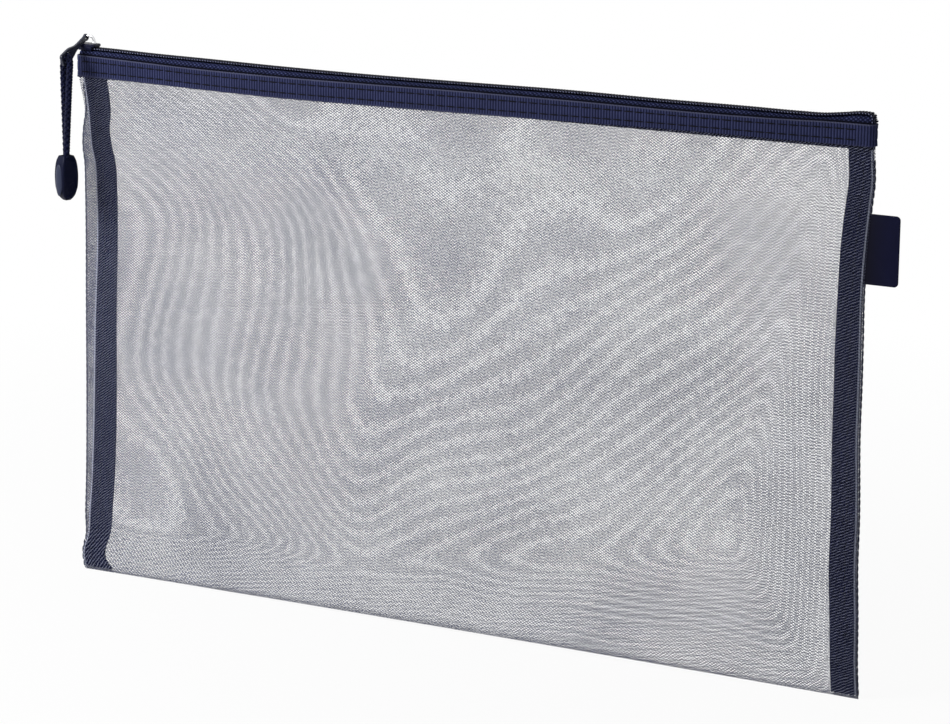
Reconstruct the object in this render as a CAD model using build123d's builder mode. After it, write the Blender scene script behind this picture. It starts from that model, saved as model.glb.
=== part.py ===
from build123d import *
from math import floor, radians, tan
import os

os.makedirs("parts", exist_ok=True)

# Frame: +X to the label side, -Y to the front, +Z up, origin under the middle of the bottom fold.
# All lengths are in millimetres.

# Whole wallet
wallet_width = 340.0  # over the ribbons' ends
body_height = 215.0  # floor to the ribbons' top edge
mouth_depth = 9.8  # over both ribbons
mouth_corner = 1.0  # plan corner at the ribbons' ends
cut_overrun = 5.0  # how far cuts run past what they cut
sewn_clearance = 0.05  # between cloth layers that are sewn together

# Mesh sheet, folded at the bottom and puffed between its seams
mesh_thickness = 0.4
base_depth = 5.2
fold_height = 30.0
fold_depth = 10.4
belly_height = 100.0
belly_depth = 12.0
shoulder_height = 172.0
shoulder_depth = 10.6
seam_depth = 5.0
seam_roll = 2.2  # width of wall that turns into a side seam
mesh_tuck = 1.5  # mesh edge below the ribbons' top edge

# Seam allowance and the tape bound round it
allowance_width = 10.6
binding_width = 10.0
binding_thickness = 0.4
binding_end_gap = 1.5  # from the tape's lower end to the floor
binding_top_gap = 1.0  # from the tape's upper end to the zip tape

# Ribbons
ribbon_width = 10.0
ribbon_thickness = 0.5

# Zip tapes and coils
tape_thickness = 0.5
tape_leg = 12.0  # below the ribbons' top edge
tape_rise = 1.4  # above the ribbons' top edge
tape_shoulder = 1.2
tape_slit = 1.6
coil_pitch = 1.2
coil_thickness = 1.4
coil_half_width = 2.2
coil_back = 1.0  # width of the back that the teeth stand on
tooth_overlap = 0.55  # how far a tooth reaches past the middle
tail_gap = 0.25  # from the middle to the plain turned-down end
tail_turn = 90.0  # degrees the end is turned down

# Side label
label_reach = 11.0
label_height = 26.0
label_thickness = 0.8
label_corner = 1.6
label_drop = 32.0  # ribbons' top edge to label's top edge
label_root = 9.0
label_clearance = 0.1

# Zip slider
slider_inset = 3.8  # wallet's left end to the slider's middle
slider_length = 8.4
slider_front_width = 6.4
slider_back_width = 5.6
slider_corner = 1.2
slider_plate = 1.0
slider_edge = 0.3
slider_play = 0.25
flange_thickness = 0.7
flange_length = 6.0
flange_play = 0.3
wedge_width = 1.2
wedge_length = 2.4
wedge_setback = 1.4
lower_plate_length = 5.0
lower_plate_shift = 0.5  # behind the upper plate's middle
lower_plate_width = 5.0
lower_plate_corner = 1.0

# Slider bridge
bridge_span = 6.0
bridge_rise = 3.5
bridge_bar = 0.9
bridge_width = 1.5
bridge_corner = 2.2

# Pull tab, a flat plate with an eye round the bridge's bar
eye_radius = 2.7
eye_hole_radius = 1.9
tab_thickness = 1.0
tab_neck_width = 2.2
tab_waist = 7.4  # eye's centre to where the tab starts to widen
tab_shoulder = 11.8  # eye's centre to where it is at its widest
tab_width = 5.1
tab_end_bar = 1.1
tab_corner = 1.2
slot_length = 4.3
slot_width = 3.3
slot_corner = 0.6
tab_direction = Vector(-0.184, -0.866, -0.467).normalized()

# Cord and grip
cord_diameter = 2.5
cord_route = [  # steps from the middle of the tab's slot
    (-0.2, 0.94, -44.2),
    (-2.0, 1.04, -10.0),
    (-2.55, 0.42, -0.18),
    (2.55, -0.42, -0.18),
    (1.65, -1.96, -10.0),
    (-1.2, -1.86, -44.2),
]
bend_share = 0.45  # of the shorter run beside a bend
grip_height = 17.2
grip_width = 12.2
grip_depth = 6.2
grip_turn = 70.0  # degrees about Z of the grip's broad face
grip_foot_width = 7.0
grip_top_width = 9.6
grip_belly_share = 0.4  # of its height, where it is widest
grip_corner = 2.6
grip_edge = 2.2  # bevel round both broad faces
grip_socket_depth = 3.4
grip_socket_play = 0.3
rib_count = 3
rib_length = 6.0
rib_width = 0.8
rib_pitch = 1.9
rib_proud = 0.3
rib_slant = 35.0
rib_height = 5.2  # grip's foot to the middle of its ribs

# Places worked out from the sizes above
mesh_width = wallet_width - 2 * ribbon_thickness
mesh_mouth_depth = mouth_depth - 2 * ribbon_thickness
ribbon_bottom = body_height - ribbon_width
tape_bottom = body_height - tape_leg
tape_top = body_height + tape_rise
tape_width = mesh_width - 2 * mesh_thickness - 2 * sewn_clearance
tape_depth = mesh_mouth_depth - 2 * mesh_thickness - 2 * sewn_clearance
coil_top = tape_top + coil_thickness
binding_top = tape_bottom - binding_top_gap
allowance_thickness = 2 * mesh_thickness
label_z = body_height - label_drop - label_height / 2
slider_x = slider_inset - wallet_width / 2
plate_bottom = coil_top + slider_play
plate_top = plate_bottom + slider_plate
bar_height = plate_top + bridge_rise - bridge_bar / 2
eye_centre = Vector(slider_x, 0, bar_height)
tab_length = tab_shoulder + slot_length + tab_end_bar
slot_reach = tab_shoulder + slot_length / 2
slot_centre = eye_centre + tab_direction * slot_reach
cord_points = [slot_centre + Vector(*step) for step in cord_route]


def lens_section(height, width, depth, end_depth):
    """Plan outline of the mesh at one height: bowed walls between two narrow ends."""
    half = width / 2
    with BuildSketch(Plane.XY.offset(height)) as section:
        with BuildLine():
            if depth > end_depth:
                ThreePointArc((-half, -end_depth / 2), (0, -depth / 2), (half, -end_depth / 2))
                ThreePointArc((half, end_depth / 2), (0, depth / 2), (-half, end_depth / 2))
            else:
                Line((-half, -end_depth / 2), (half, -end_depth / 2))
                Line((half, end_depth / 2), (-half, end_depth / 2))
            Line((half, -end_depth / 2), (half, end_depth / 2))
            Line((-half, end_depth / 2), (-half, -end_depth / 2))
        make_face()
    return section.sketch


def bag_form(inset, bottom, top):
    """The bag as one solid, inset from its outer face, from its bottom to its top."""
    stations = [
        (bottom, base_depth),
        (fold_height, fold_depth),
        (belly_height, belly_depth),
        (shoulder_height, shoulder_depth),
    ]
    width = mesh_width - 2 * inset
    seam = seam_depth - 2 * inset
    puffed = [lens_section(height, width, depth - 2 * inset, seam) for height, depth in stations]
    mouth_size = mesh_mouth_depth - 2 * inset
    mouth = lens_section(tape_bottom, width, mouth_size, mouth_size)
    with BuildPart() as bag:
        loft(puffed)
        loft([puffed[-1], mouth], ruled=True)
        extrude(mouth, amount=top - tape_bottom)
    return bag.part


# Mesh shell, divided where the walls turn into the bottom fold and the side seams
seam_x = mesh_width / 2 - seam_roll
with BuildPart() as mesh_shell:
    add(bag_form(0, 0, body_height - mesh_tuck))
    add(bag_form(mesh_thickness, mesh_thickness, body_height + cut_overrun), mode=Mode.SUBTRACT)

with BuildPart() as front_mesh:
    add(mesh_shell.part)
    split(bisect_by=Plane.YZ.offset(seam_x), keep=Keep.BOTTOM)
    split(bisect_by=Plane.YZ.offset(-seam_x), keep=Keep.TOP)
    split(bisect_by=Plane.XY.offset(mesh_thickness), keep=Keep.TOP)
    split(bisect_by=Plane.XZ, keep=Keep.TOP)
front_mesh.part.label = "front_mesh"
export_step(front_mesh.part, "parts/front_mesh.step")

with BuildPart() as rear_mesh:
    mirror(front_mesh.part, about=Plane.XZ)
rear_mesh.part.label = "rear_mesh"
export_step(rear_mesh.part, "parts/rear_mesh.step")

with BuildPart() as bottom_fold:
    add(mesh_shell.part)
    split(bisect_by=Plane.YZ.offset(seam_x), keep=Keep.BOTTOM)
    split(bisect_by=Plane.YZ.offset(-seam_x), keep=Keep.TOP)
    split(bisect_by=Plane.XY.offset(mesh_thickness), keep=Keep.BOTTOM)
bottom_fold.part.label = "bottom_fold"
export_step(bottom_fold.part, "parts/bottom_fold.step")

# Side seams, each with its allowance of two layers turned inwards
allowance_x = mesh_width / 2 - mesh_thickness / 2 - allowance_width / 2
allowance_length = binding_top - mesh_thickness
allowance_z = mesh_thickness + allowance_length / 2
with BuildPart() as plain_seam:
    add(mesh_shell.part)
    split(bisect_by=Plane.YZ.offset(seam_x), keep=Keep.TOP)
    with Locations((allowance_x, 0, allowance_z)):
        Box(allowance_width, allowance_thickness, allowance_length)

with BuildPart() as left_seam:
    mirror(plain_seam.part, about=Plane.YZ)
left_seam.part.label = "left_seam"
export_step(left_seam.part, "parts/left_seam.step")

# The right seam is open where the label is sewn in
notch_width = allowance_width + mesh_thickness + cut_overrun
notch_depth = label_thickness + 2 * sewn_clearance
notch_height = label_height + 2 * label_clearance
notch_x = mesh_width / 2 + (notch_width - cut_overrun) / 2 - allowance_width
with BuildPart() as right_seam:
    add(plain_seam.part)
    with Locations((notch_x, 0, label_z)):
        Box(notch_width, notch_depth, notch_height, mode=Mode.SUBTRACT)
right_seam.part.label = "right_seam"
export_step(right_seam.part, "parts/right_seam.step")

# Binding tapes, folded round the raw edges of the seam allowances
binding_fold_x = mesh_width / 2 - mesh_thickness - allowance_width - binding_thickness
binding_slot = allowance_thickness + 2 * sewn_clearance
binding_depth = binding_slot + 2 * binding_thickness
with BuildPart() as right_side_binding:
    with BuildSketch(Plane.XY.offset(binding_end_gap)):
        with Locations((binding_fold_x + binding_width / 2, 0)):
            Rectangle(binding_width, binding_depth)
        with Locations((binding_fold_x + binding_thickness + binding_width / 2, 0)):
            Rectangle(binding_width, binding_slot, mode=Mode.SUBTRACT)
    extrude(amount=binding_top - binding_end_gap)
right_side_binding.part.label = "right_side_binding"
export_step(right_side_binding.part, "parts/right_side_binding.step")

with BuildPart() as left_side_binding:
    mirror(right_side_binding.part, about=Plane.YZ)
left_side_binding.part.label = "left_side_binding"
export_step(left_side_binding.part, "parts/left_side_binding.step")

# Ribbons round the outside of the mouth, one on each face, meeting at the two ends
with BuildPart() as front_ribbon:
    with BuildSketch(Plane.XY.offset(ribbon_bottom)):
        RectangleRounded(wallet_width, mouth_depth, mouth_corner)
        Rectangle(mesh_width, mesh_mouth_depth, mode=Mode.SUBTRACT)
    extrude(amount=ribbon_width)
    split(bisect_by=Plane.XZ.offset(sewn_clearance), keep=Keep.TOP)
front_ribbon.part.label = "front_ribbon"
export_step(front_ribbon.part, "parts/front_ribbon.step")

with BuildPart() as rear_ribbon:
    mirror(front_ribbon.part, about=Plane.XZ)
rear_ribbon.part.label = "rear_ribbon"
export_step(rear_ribbon.part, "parts/rear_ribbon.step")


def tape_form(inset):
    """Both zip tapes as one closed cap over the mouth, inset from its outer face."""
    with BuildPart() as cap:
        with BuildSketch(Plane.XY.offset(tape_bottom)):
            Rectangle(tape_width - 2 * inset, tape_depth - 2 * inset)
        extrude(amount=tape_top - inset - tape_bottom)
        chamfer(cap.edges().group_by(Axis.Z)[-1], tape_shoulder - inset)
    return cap.part


# Zip tapes, from inside the mouth up over its shoulders to the slit in the middle
with BuildPart() as front_zip_tape:
    add(tape_form(0))
    add(tape_form(tape_thickness), mode=Mode.SUBTRACT)
    split(bisect_by=Plane.XZ.offset(tape_slit / 2), keep=Keep.TOP)
front_zip_tape.part.label = "front_zip_tape"
export_step(front_zip_tape.part, "parts/front_zip_tape.step")

with BuildPart() as rear_zip_tape:
    mirror(front_zip_tape.part, about=Plane.XZ)
rear_zip_tape.part.label = "rear_zip_tape"
export_step(rear_zip_tape.part, "parts/rear_zip_tape.step")

# Coils: rows of teeth that mesh along the middle, with a plain end turned down on the right
coil_start = slider_x - slider_length / 2 + wedge_setback + wedge_length + slider_play
coil_end = tape_width / 2 - tape_shoulder
coil_shift = coil_pitch / 2  # rear teeth, past the front ones
tooth_count = floor((coil_end - coil_start - coil_shift) / coil_pitch)
tooth_root = coil_half_width - coil_back


def coil_outline(side, shift):
    """Plan outline of one coil: a straight back with pointed teeth towards the middle."""
    outline = [(coil_end, side * coil_half_width), (coil_start, side * coil_half_width)]
    for tooth in range(tooth_count):
        left = coil_start + shift + tooth * coil_pitch
        outline.append((left, side * tooth_root))
        outline.append((left + coil_pitch / 2, -side * tooth_overlap))
    outline.append((coil_start + shift + tooth_count * coil_pitch, side * tooth_root))
    outline.append((coil_end, side * tooth_root))
    return outline


def coil_form(side, shift):
    """One coil with its turned-down end, on the front (side -1) or the rear (side 1)."""
    tail_width = coil_half_width - tail_gap
    with BuildPart() as coil:
        with BuildSketch(Plane.XY.offset(tape_top)):
            with BuildLine():
                Polyline(*coil_outline(side, shift), close=True)
            make_face()
        extrude(amount=coil_thickness)
        with BuildSketch(Plane.YZ.offset(coil_end)):
            with Locations((side * (tail_gap + tail_width / 2), tape_top + coil_thickness / 2)):
                Rectangle(tail_width, coil_thickness)
        revolve(axis=Axis((coil_end, 0, tape_top - tape_shoulder), (0, 1, 0)), revolution_arc=tail_turn)
    return coil.part


with BuildPart() as front_zip_coil:
    add(coil_form(-1, 0))
front_zip_coil.part.label = "front_zip_coil"
export_step(front_zip_coil.part, "parts/front_zip_coil.step")

with BuildPart() as rear_zip_coil:
    add(coil_form(1, coil_shift))
rear_zip_coil.part.label = "rear_zip_coil"
export_step(rear_zip_coil.part, "parts/rear_zip_coil.step")

# Label: a soft tab held in the right seam, with rounded outer corners
label_length = label_root + mesh_thickness + label_reach
label_x = mesh_width / 2 + label_reach - label_length / 2
with BuildPart() as side_label:
    with BuildSketch(Plane.XZ.offset(-label_thickness / 2)) as label_outline:
        with Locations((label_x, label_z)):
            Rectangle(label_length, label_height)
        fillet(label_outline.vertices().group_by(Axis.X)[-1], label_corner)
    extrude(amount=label_thickness)
side_label.part.label = "side_label"
export_step(side_label.part, "parts/side_label.step")

# Slider: two plates joined by a wedge at the leading end, with a flange down each long side
flange_y = coil_half_width + flange_play + flange_thickness / 2
lower_plate_top = tape_top - tape_thickness - slider_play
lower_plate_bottom = lower_plate_top - slider_plate
wedge_x = slider_x - slider_length / 2 + wedge_setback + wedge_length / 2
with BuildPart() as slider_body:
    with BuildSketch(Plane.XY.offset(plate_bottom)) as shield:
        with BuildLine():
            Polyline(
                (slider_x - slider_length / 2, -slider_front_width / 2),
                (slider_x + slider_length / 2, -slider_back_width / 2),
                (slider_x + slider_length / 2, slider_back_width / 2),
                (slider_x - slider_length / 2, slider_front_width / 2),
                close=True,
            )
        make_face()
        fillet(shield.vertices(), slider_corner)
    extrude(amount=slider_plate)
    chamfer(slider_body.edges().group_by(Axis.Z)[-1], slider_edge)
    with BuildSketch(Plane.XY.offset(plate_bottom)):
        with Locations((slider_x, flange_y), (slider_x, -flange_y)):
            Rectangle(flange_length, flange_thickness)
    extrude(amount=tape_top + flange_play - plate_bottom)
    with BuildSketch(Plane.XY.offset(lower_plate_bottom)):
        with Locations((slider_x + lower_plate_shift, 0)):
            RectangleRounded(lower_plate_length, lower_plate_width, lower_plate_corner)
    extrude(amount=slider_plate)
    with BuildSketch(Plane.XY.offset(lower_plate_top)):
        with Locations((wedge_x, 0)):
            SlotOverall(wedge_length, wedge_width)
    extrude(amount=plate_bottom - lower_plate_top)
slider_body.part.label = "slider_body"
export_step(slider_body.part, "parts/slider_body.step")

# Bridge: an arch along the slider that holds the tab's eye
bridge_inner_span = bridge_span - 2 * bridge_bar
bridge_inner_corner = bridge_corner - bridge_bar
with BuildPart() as slider_bridge:
    with BuildSketch(Plane.XZ.offset(-bridge_width / 2)) as arch:
        with Locations((slider_x, plate_top + bridge_rise / 2)):
            Rectangle(bridge_span, bridge_rise)
        fillet(arch.vertices().group_by(Axis.Y)[-1], bridge_corner)
    extrude(amount=bridge_width)
    with BuildSketch(Plane.XZ.offset(-bridge_width / 2)) as arch_gap:
        with Locations((slider_x, plate_top + (bridge_rise - bridge_bar) / 2)):
            Rectangle(bridge_inner_span, bridge_rise - bridge_bar)
        fillet(arch_gap.vertices().group_by(Axis.Y)[-1], bridge_inner_corner)
    extrude(amount=bridge_width, mode=Mode.SUBTRACT)
slider_bridge.part.label = "slider_bridge"
export_step(slider_bridge.part, "parts/slider_bridge.step")

# Tab: its length runs along tab_direction, its face as square to the bar as that allows
tab_normal = (Vector(1, 0, 0) - tab_direction * tab_direction.X).normalized()
tab_plane = Plane(origin=eye_centre, x_dir=tab_direction, z_dir=tab_normal)
with BuildPart() as pull_tab:
    with BuildSketch(tab_plane.offset(-tab_thickness / 2)):
        with BuildSketch(tab_plane.offset(-tab_thickness / 2)) as tab_blade:
            with BuildLine():
                Polyline(
                    (0, -tab_neck_width / 2),
                    (tab_waist, -tab_neck_width / 2),
                    (tab_shoulder, -tab_width / 2),
                    (tab_length, -tab_width / 2),
                    (tab_length, tab_width / 2),
                    (tab_shoulder, tab_width / 2),
                    (tab_waist, tab_neck_width / 2),
                    (0, tab_neck_width / 2),
                    close=True,
                )
            make_face()
            fillet(tab_blade.vertices().group_by(Axis.X)[-1], tab_corner)
        Circle(eye_radius)
        Circle(eye_hole_radius, mode=Mode.SUBTRACT)
        with Locations((slot_reach, 0)):
            RectangleRounded(slot_length, slot_width, slot_corner, mode=Mode.SUBTRACT)
    extrude(amount=tab_thickness)
pull_tab.part.label = "pull_tab"
export_step(pull_tab.part, "parts/pull_tab.step")


def bend_radii(corners):
    """As large a radius at each bend as the shorter run beside it allows."""
    radii = []
    for before, corner, after in zip(corners, corners[1:], corners[2:]):
        shorter = min((corner - before).length, (after - corner).length)
        half_turn = (corner - before).get_angle(after - corner) / 2
        radii.append(bend_share * shorter / tan(radians(half_turn)))
    return radii


# Cord: one loop, up from the grip, through the tab's slot and down again
with BuildPart() as pull_cord:
    with BuildLine() as cord_path:
        FilletPolyline(*cord_points, radius=bend_radii(cord_points))
    with BuildSketch(Plane(origin=cord_path.wire() @ 0, z_dir=cord_path.wire() % 0)):
        Circle(cord_diameter / 2)
    sweep()
pull_cord.part.label = "pull_cord"
export_step(pull_cord.part, "parts/pull_cord.step")

# Grip: a flattened drop with slanted ribs, which takes both ends of the cord in one socket
grip_top = cord_points[0] + Vector(0, 0, grip_socket_depth - grip_socket_play)
strand_step = cord_points[-1] - cord_points[0]
grip_foot = grip_top + strand_step / 2 - Vector(0, 0, grip_height)
grip_axes = Plane(origin=grip_foot).rotated((0, 0, grip_turn))
grip_face = Plane(origin=grip_foot, x_dir=grip_axes.x_dir, z_dir=-grip_axes.y_dir)
grip_belly = grip_belly_share * grip_height
with BuildPart() as cord_grip:
    with BuildSketch(grip_face) as grip_outline:
        with BuildLine():
            Polyline(
                (-grip_foot_width / 2, 0),
                (grip_foot_width / 2, 0),
                (grip_width / 2, grip_belly),
                (grip_top_width / 2, grip_height),
                (-grip_top_width / 2, grip_height),
                (-grip_width / 2, grip_belly),
                close=True,
            )
        make_face()
        fillet(grip_outline.vertices(), grip_corner)
    extrude(amount=grip_depth / 2, both=True)
    face_edges = cord_grip.faces().filter_by(grip_face).edges()
    chamfer(face_edges, grip_edge)
    with BuildSketch(grip_face):
        with Locations(Location((0, rib_height), rib_slant)):
            with GridLocations(0, rib_pitch, 1, rib_count):
                Rectangle(rib_length, rib_width)
    extrude(amount=grip_depth / 2 + rib_proud, both=True)
    with BuildSketch(grip_axes.offset(grip_height)):
        SlotCenterToCenter(strand_step.length, cord_diameter + 2 * grip_socket_play)
    extrude(amount=-grip_socket_depth, mode=Mode.SUBTRACT)
cord_grip.part.label = "cord_grip"
export_step(cord_grip.part, "parts/cord_grip.step")
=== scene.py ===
"""Zip document wallet of net cloth: the looks of its pieces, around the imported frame."""

import math

import bmesh
import bpy
import numpy as np
from mathutils import Matrix, Vector


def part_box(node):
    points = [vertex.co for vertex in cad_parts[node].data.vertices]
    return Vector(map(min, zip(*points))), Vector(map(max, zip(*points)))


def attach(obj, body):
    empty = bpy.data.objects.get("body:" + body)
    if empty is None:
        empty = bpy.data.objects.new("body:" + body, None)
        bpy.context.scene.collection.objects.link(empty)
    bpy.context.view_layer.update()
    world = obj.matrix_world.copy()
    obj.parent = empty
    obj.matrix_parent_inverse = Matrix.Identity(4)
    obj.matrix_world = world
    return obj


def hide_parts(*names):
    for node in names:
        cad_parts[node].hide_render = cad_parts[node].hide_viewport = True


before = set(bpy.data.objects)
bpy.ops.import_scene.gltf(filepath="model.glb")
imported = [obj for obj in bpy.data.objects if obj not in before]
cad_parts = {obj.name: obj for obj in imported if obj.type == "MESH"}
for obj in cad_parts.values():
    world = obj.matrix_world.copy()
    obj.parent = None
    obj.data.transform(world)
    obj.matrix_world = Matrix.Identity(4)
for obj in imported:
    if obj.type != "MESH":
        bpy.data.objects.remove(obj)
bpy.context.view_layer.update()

# Lengths below are in millimetres; meshes are made in metres
mm = 0.001
front, rear = -1, 1

ribbon_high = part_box("front_ribbon")[1] / mm
half_width = ribbon_high.x
mouth_top = ribbon_high.z
net_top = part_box("front_mesh")[1].z / mm
tape_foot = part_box("front_zip_tape")[0].z / mm
coil_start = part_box("front_zip_coil")[0].x / mm
label_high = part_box("side_label")[1] / mm
bridge_low, bridge_high = (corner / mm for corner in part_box("slider_bridge"))
grip_low, grip_high = (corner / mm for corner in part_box("cord_grip"))


# Shapes that follow given points


def eased(points):
    """A smooth curve through (place, value) points, level past both ends."""
    places, values = np.array(points, float).T
    slopes = np.gradient(values, places)

    def curve(at):
        at = np.clip(np.asarray(at, float), places[0], places[-1])
        left = np.clip(np.searchsorted(places, at, side="right") - 1, 0, len(places) - 2)
        span = places[left + 1] - places[left]
        t = (at - places[left]) / span
        from_left = values[left] * (1 + 2 * t) * (1 - t) ** 2 + slopes[left] * span * t * (1 - t) ** 2
        from_right = values[left + 1] * t * t * (3 - 2 * t) + slopes[left + 1] * span * t * t * (t - 1)
        return from_left + from_right

    return curve


# How far each side seam is drawn in from the wallet's full width, by height
left_draw_in = eased([
    (0, -1.2), (3, -2.2), (8, -2.6), (14, -1.0), (24, -1.0), (38, -0.4), (71, 0.35), (113, 0.8), (145, 1.2),
    (160, 1.2), (171, 1.0), (178, 0.2), (184.5, 0.6), (192.4, 1.9), (198, 1.5), (205, 0.35), (215, 0.3),
])
right_draw_in = eased([
    (0, -1.3), (12, -0.45), (29, 0.0), (51, 0.9), (68, 0.9), (102, 1.9), (119, 1.85), (136, 2.0),
    (152, 2.2), (186, 0.45), (194, -0.3), (205, 0.2), (215, 0.3),
])
# How far the walls stand out from the middle plane: half way along, and just inside each seam
belly_depth = eased([(0, 2.4), (12, 3.7), (30, 4.8), (100, 5.6), (172, 5.1), (203, 4.2), (215, 4.2)])
left_end_depth = eased([(0, 0.8), (165, 0.8), (190, 1.6), (203, 3.4), (215, 3.4)])
right_end_depth = eased([(0, 0.8), (170, 0.8), (190, 1.0), (203, 1.9), (215, 1.9)])
seam_gap = 0.4
seam_roll = 0.45
# Top edge of the zip's coil along the wallet: it sags, then rises to the turned-down end
coil_crest = eased([
    (-170, 217.9), (-155, 217.8), (-138, 217.45), (-113, 217.25), (-79, 216.9), (-37, 216.9), (4, 217.35),
    (45, 217.9), (86, 217.8), (119, 218.0), (140, 218.0), (150, 218.2), (157, 219.0), (165, 220.0),
    (168.3, 219.9),
])
ribbon_upper_edge = eased([
    (-170, 214.8), (-155, 214.5), (-138, 214.1), (-113, 213.6), (-79, 213.5), (-37, 213.95), (4, 214.55),
    (45, 214.8), (119, 214.8), (139, 215.2), (152, 215.6), (170, 215.7),
])
ribbon_lower_edge = eased([
    (-170, 206.1), (-138, 206.1), (-113, 205.7), (-79, 205.3), (-37, 205.7), (4, 206.2), (45, 206.9),
    (86, 207.6), (139, 207.7), (170, 207.7),
])


def side_edges(height):
    """Where the two side seams are at a height."""
    return left_draw_in(height) - half_width, half_width - right_draw_in(height)


def side_edge(edge_side, height):
    """Where one side seam is at a height (edge_side -1 left, 1 right)."""
    left, right = side_edges(height)
    return left if edge_side < 0 else right


def wall_depth(x, height):
    """How far a net wall stands out from the wallet's middle plane."""
    left, right = side_edges(height)
    share = np.clip((x - left) / (right - left), 0, 1)
    blunt = (1 - share) * left_end_depth(height) + share * right_end_depth(height)
    roll = (1 - np.exp(-(x - left) / seam_roll)) * (1 - np.exp(-(right - x) / seam_roll))
    bow = 4 * share * (1 - share)
    return seam_gap + blunt * roll + (belly_depth(height) - blunt) * bow


# Meshes


def new_piece(name, mesh):
    """An object at the origin, with its place in its mesh."""
    piece = bpy.data.objects.new(name, mesh)
    bpy.context.scene.collection.objects.link(piece)
    return piece


def grid_piece(name, points, cloth, flip=False):
    """Rows and columns of points (millimetres) as one sheet, with its own cloth map (metres)."""
    rows, columns = points.shape[:2]
    index = np.arange(rows * columns).reshape(rows, columns)
    quads = np.stack([index[:-1, :-1], index[:-1, 1:], index[1:, 1:], index[1:, :-1]], axis=-1).reshape(-1, 4)
    if flip:
        quads = quads[:, ::-1]
    mesh = bpy.data.meshes.new(name)
    mesh.from_pydata((points.reshape(-1, 3) * mm).tolist(), [], quads.tolist())
    corners = np.zeros(len(mesh.loops), np.int32)
    mesh.loops.foreach_get("vertex_index", corners)
    layer = mesh.uv_layers.new(name="cloth")
    layer.data.foreach_set("uv", (cloth.reshape(-1, 2)[corners] * mm).astype(np.float32).ravel())
    mesh.shade_smooth()
    return new_piece(name, mesh)


def work_in(piece):
    """Turns the piece's modifiers into its plain mesh."""
    bpy.context.view_layer.update()
    graph = bpy.context.evaluated_depsgraph_get()
    made = piece.evaluated_get(graph)
    mesh = bpy.data.meshes.new_from_object(made, preserve_all_data_layers=True, depsgraph=graph)
    mesh.name = piece.name
    piece.modifiers.clear()
    piece.data = mesh
    return piece


def cloth_piece(name, points, cloth, flip, thickness, material):
    """A sheet with its thickness inwards from its outer face, or outwards where that is negative."""
    sheet = grid_piece(name, points, cloth, flip)
    wall = sheet.modifiers.new("thickness", "SOLIDIFY")
    wall.thickness = thickness * mm
    wall.offset = -1
    work_in(sheet)
    sheet.data.materials.append(material)
    return sheet


def steps_along(points):
    """Distance along a line of points, from its first point."""
    runs = np.linalg.norm(np.diff(points, axis=0), axis=1)
    return np.concatenate([[0], np.cumsum(runs)])


def headings(points):
    """Unit directions along a line of points."""
    ahead = np.gradient(points, axis=0)
    return ahead / np.linalg.norm(ahead, axis=1)[:, None]


def evenly(points, count):
    """A line of points again, with even steps."""
    along = steps_along(points)
    places = np.linspace(0, along[-1], count)
    return np.stack([np.interp(places, along, column) for column in points.T], axis=1), places


def mend(mesh, merge=0.001, fill=False, flats=False, outward=True):
    """Merges a mesh's doubled points, and can fill its ends, join its flats and turn its faces outwards."""
    shape = bmesh.new()
    shape.from_mesh(mesh)
    bmesh.ops.remove_doubles(shape, verts=shape.verts, dist=merge * mm)
    if fill:
        bmesh.ops.holes_fill(shape, edges=[edge for edge in shape.edges if edge.is_boundary])
    if flats:
        bmesh.ops.dissolve_limit(shape, angle_limit=math.radians(1), verts=shape.verts, edges=shape.edges)
    if outward:
        bmesh.ops.recalc_face_normals(shape, faces=shape.faces)
    shape.to_mesh(mesh)
    shape.free()


def softened_copy(name, node, edge, material):
    """A copy of a CAD node with its edges rounded over."""
    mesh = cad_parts[node].data.copy()
    mend(mesh, flats=True, outward=False)
    return rounded(name, mesh, edge, material)


def rounded(name, mesh, edge, material, sharp=40):
    """A piece whose sharp edges are rounded over."""
    mesh.materials.clear()
    mesh.materials.append(material)
    piece = new_piece(name, mesh)
    mesh.shade_smooth()
    rounding = piece.modifiers.new("rounding", "BEVEL")
    rounding.width = edge * mm
    rounding.segments = 3
    rounding.limit_method = "ANGLE"
    rounding.angle_limit = math.radians(sharp)
    work_in(piece)
    piece.data.set_sharp_from_angle(angle=math.radians(sharp))
    return piece


def ball_piece(name, segments, rings, place, material):
    """A smooth ball of 1 mm radius, sized and set by a matrix."""
    ball = bmesh.new()
    bmesh.ops.create_uvsphere(ball, u_segments=segments, v_segments=rings, radius=mm)
    bmesh.ops.transform(ball, matrix=place, verts=ball.verts)
    mesh = bpy.data.meshes.new(name)
    ball.to_mesh(mesh)
    ball.free()
    mesh.shade_smooth()
    mesh.materials.append(material)
    return new_piece(name, mesh)


def joined(name, pieces):
    """Several pieces as one."""
    mesh = bpy.data.meshes.new(name)
    shape = bmesh.new()
    materials = []
    for piece in pieces:
        material = piece.data.materials[piece.data.polygons[0].material_index]
        if material not in materials:
            materials.append(material)
        first = len(shape.faces)
        shape.from_mesh(piece.data)
        shape.faces.ensure_lookup_table()
        for face in shape.faces[first:]:
            face.material_index = materials.index(material)
        bpy.data.objects.remove(piece)
    shape.to_mesh(mesh)
    shape.free()
    for material in materials:
        mesh.materials.append(material)
    return new_piece(name, mesh)


# Node trees


def add_node(tree, kind, inputs=(), **settings):
    """One node; each of its inputs is a constant or another node's output."""
    made = tree.nodes.new(kind)
    for name, value in settings.items():
        setattr(made, name, value)
    for key, value in dict(inputs).items():
        if isinstance(value, bpy.types.NodeSocket):
            tree.links.new(value, made.inputs[key])
        else:
            made.inputs[key].default_value = value
    return made


def calculate(tree, operation, first, second=0.0):
    """The output of one Math node."""
    return add_node(tree, "ShaderNodeMath", {0: first, 1: second}, operation=operation).outputs[0]


def part_of(tree, place, axis):
    """One coordinate of a place."""
    return add_node(tree, "ShaderNodeSeparateXYZ", {0: place}).outputs[axis]


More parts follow.
